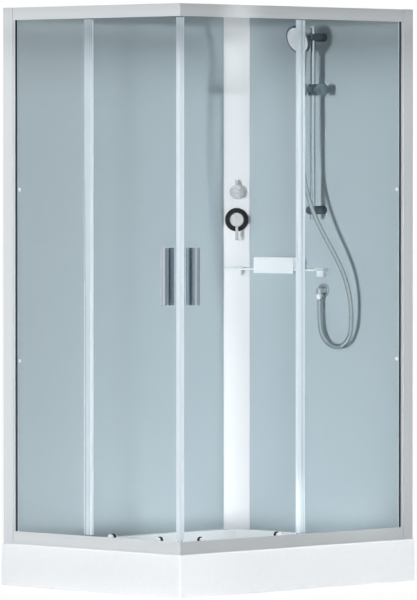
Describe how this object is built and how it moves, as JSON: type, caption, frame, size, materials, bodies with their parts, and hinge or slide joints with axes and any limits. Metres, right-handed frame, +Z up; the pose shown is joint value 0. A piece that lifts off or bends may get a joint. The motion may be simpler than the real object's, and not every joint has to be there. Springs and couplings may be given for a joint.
{
  "type": "shower cabin",
  "caption": "Corner-entry shower cabin: white tray, aluminium frame, sliding glass doors, back walls, a corner column with mixer, and a hand shower on a rail.",
  "frame": {"origin": "middle of the footprint at floor level", "axes": "+Z up; +X along the long side to the short back wall; +Y along the short side to the long back wall; the door corner is at -X -Y"},
  "size_m": [1.2, 0.9, 2.06],
  "materials": {
    "white_acrylic": "glossy acrylic",
    "white_plastic": "smooth moulded plastic",
    "wall_panel": "glossy pale blue-grey sheet",
    "aluminium": "bright silver anodised",
    "clear_glass": "clear toughened glass",
    "clear_seal": "translucent soft plastic",
    "dark_rubber": "matt",
    "chrome": "polished",
    "chromed_plastic": "chrome-plated plastic",
    "brass": "cast and machined",
    "black_plastic": "satin",
    "grey_plastic": "satin moulded",
    "galvanised_steel": "zinc-plated steel"
  },
  "bodies": {
    "cabin": {"shower_tray": "white_acrylic", "corner_column": "white_acrylic", "shelf_bin": "white_plastic", "wall_screw_caps": "white_plastic", "back_wall_left": "wall_panel", "back_wall_right": "wall_panel", "wall_profile_left": "aluminium", "wall_profile_right": "aluminium", "top_rail_left": "aluminium", "top_rail_right": "aluminium", "bottom_rail_left": "aluminium", "bottom_rail_right": "aluminium", "rail_corner_brackets": "aluminium", "fixed_panel_left": "clear_glass", "fixed_panel_right": "clear_glass", "shelf_glass": "clear_glass", "fixed_edge_strips": "clear_seal", "glazing_gaskets": "dark_rubber", "door_stops": "dark_rubber", "shower_rail": "chrome", "rail_brackets": "chrome", "wall_elbow": "chrome", "elbow_hose_nut": "chrome", "shelf_clips": "chrome", "drain_cover": "chrome", "shower_hose": "chromed_plastic", "valve_body": "brass", "mixer_rosette": "black_plastic", "drain_trap": "grey_plastic", "tray_support_frame": "galvanised_steel", "adjustable_feet": "galvanised_steel"},
    "left_door": {"door_glass_left": "clear_glass", "magnetic_seal_left": "clear_seal", "door_edge_seal_left": "clear_seal", "door_handles_left": "chrome", "roller_mounts_left": "grey_plastic"},
    "right_door": {"door_glass_right": "clear_glass", "magnetic_seal_right": "clear_seal", "door_edge_seal_right": "clear_seal", "door_handles_right": "chrome", "roller_mounts_right": "grey_plastic"},
    "slider": {"rail_slider": "chromed_plastic"},
    "clamp_knob": {"slider_clamp_knob": "chromed_plastic"},
    "holder": {"handset_holder": "chromed_plastic", "hand_shower": "chromed_plastic", "spray_face": "white_plastic", "handset_hose_nut": "chrome"},
    "mixer_core": {"mixer_stem": "chrome"},
    "mixer_lever": {"mixer_handle": "chrome"},
    "diverter": {"diverter_knob": "chrome"},
    "wheel_left_top_front": {"roller_left_top_front": "black_plastic"},
    "wheel_left_top_rear": {"roller_left_top_rear": "black_plastic"},
    "wheel_left_bottom_front": {"roller_left_bottom_front": "black_plastic"},
    "wheel_left_bottom_rear": {"roller_left_bottom_rear": "black_plastic"},
    "wheel_right_top_front": {"roller_right_top_front": "black_plastic"},
    "wheel_right_top_rear": {"roller_right_top_rear": "black_plastic"},
    "wheel_right_bottom_front": {"roller_right_bottom_front": "black_plastic"},
    "wheel_right_bottom_rear": {"roller_right_bottom_rear": "black_plastic"}
  },
  "joints": [
    {"name": "left_door_slide", "type": "slide", "parent": "cabin", "child": "left_door", "axis": [0, 1, 0], "range_m": [0, 0.332]},
    {"name": "right_door_slide", "type": "slide", "parent": "cabin", "child": "right_door", "axis": [1, 0, 0], "range_m": [0, 0.482]},
    {"name": "slider_height", "type": "slide", "parent": "cabin", "child": "slider", "axis": [0, 0, 1], "range_m": [-0.39, 0.145], "deforming": ["shower_hose"]},
    {"name": "clamp_knob_turn", "type": "hinge", "parent": "slider", "child": "clamp_knob", "pos_m": [0.516, -0.06, 1.774], "axis": [0, -1, 0], "range_deg": [0, 180]},
    {"name": "holder_tilt", "type": "hinge", "parent": "slider", "child": "holder", "pos_m": [0.487, -0.02, 1.774], "axis": [0, 1, 0], "range_deg": [-20, 5], "deforming": ["shower_hose"]},
    {"name": "mixer_turn", "type": "hinge", "parent": "cabin", "child": "mixer_core", "pos_m": [0.5437, 0.39371, 1.297], "axis": [-0.7071, -0.7071, 0], "range_deg": [-50, 50]},
    {"name": "mixer_lift", "type": "hinge", "parent": "mixer_core", "child": "mixer_lever", "pos_m": [0.53098, 0.38098, 1.297], "axis": [-0.7071, 0.7071, 0], "range_deg": [0, 18]},
    {"name": "diverter_turn", "type": "hinge", "parent": "cabin", "child": "diverter", "pos_m": [0.5437, 0.39371, 1.399], "axis": [-0.7071, -0.7071, 0], "range_deg": [-45, 45]},
    {"name": "wheel_left_top_front_roll", "type": "hinge", "parent": "left_door", "child": "wheel_left_top_front", "pos_m": [-0.555, -0.307, 2.0348], "axis": [-1, 0, 0], "range_deg": [0, 2010]},
    {"name": "wheel_left_top_rear_roll", "type": "hinge", "parent": "left_door", "child": "wheel_left_top_rear", "pos_m": [-0.555, -0.073, 2.0348], "axis": [-1, 0, 0], "range_deg": [0, 2010]},
    {"name": "wheel_left_bottom_front_roll", "type": "hinge", "parent": "left_door", "child": "wheel_left_bottom_front", "pos_m": [-0.555, -0.307, 0.1938], "axis": [-1, 0, 0], "range_deg": [0, 2010]},
    {"name": "wheel_left_bottom_rear_roll", "type": "hinge", "parent": "left_door", "child": "wheel_left_bottom_rear", "pos_m": [-0.555, -0.073, 0.1938], "axis": [-1, 0, 0], "range_deg": [0, 2010]},
    {"name": "wheel_right_top_front_roll", "type": "hinge", "parent": "right_door", "child": "wheel_right_top_front", "pos_m": [-0.457, -0.405, 2.0348], "axis": [0, 1, 0], "range_deg": [0, 2920]},
    {"name": "wheel_right_top_rear_roll", "type": "hinge", "parent": "right_door", "child": "wheel_right_top_rear", "pos_m": [-0.073, -0.405, 2.0348], "axis": [0, 1, 0], "range_deg": [0, 2920]},
    {"name": "wheel_right_bottom_front_roll", "type": "hinge", "parent": "right_door", "child": "wheel_right_bottom_front", "pos_m": [-0.457, -0.405, 0.1938], "axis": [0, 1, 0], "range_deg": [0, 2920]},
    {"name": "wheel_right_bottom_rear_roll", "type": "hinge", "parent": "right_door", "child": "wheel_right_bottom_rear", "pos_m": [-0.073, -0.405, 0.1938], "axis": [0, 1, 0], "range_deg": [0, 2920]}
  ],
  "couplings": [
    {"joint": "wheel_left_top_front_roll", "follows": "left_door_slide", "rad_per_m": 105.26},
    {"joint": "wheel_left_top_rear_roll", "follows": "left_door_slide", "rad_per_m": 105.26},
    {"joint": "wheel_left_bottom_front_roll", "follows": "left_door_slide", "rad_per_m": 105.26},
    {"joint": "wheel_left_bottom_rear_roll", "follows": "left_door_slide", "rad_per_m": 105.26},
    {"joint": "wheel_right_top_front_roll", "follows": "right_door_slide", "rad_per_m": 105.26},
    {"joint": "wheel_right_top_rear_roll", "follows": "right_door_slide", "rad_per_m": 105.26},
    {"joint": "wheel_right_bottom_front_roll", "follows": "right_door_slide", "rad_per_m": 105.26},
    {"joint": "wheel_right_bottom_rear_roll", "follows": "right_door_slide", "rad_per_m": 105.26}
  ]
}
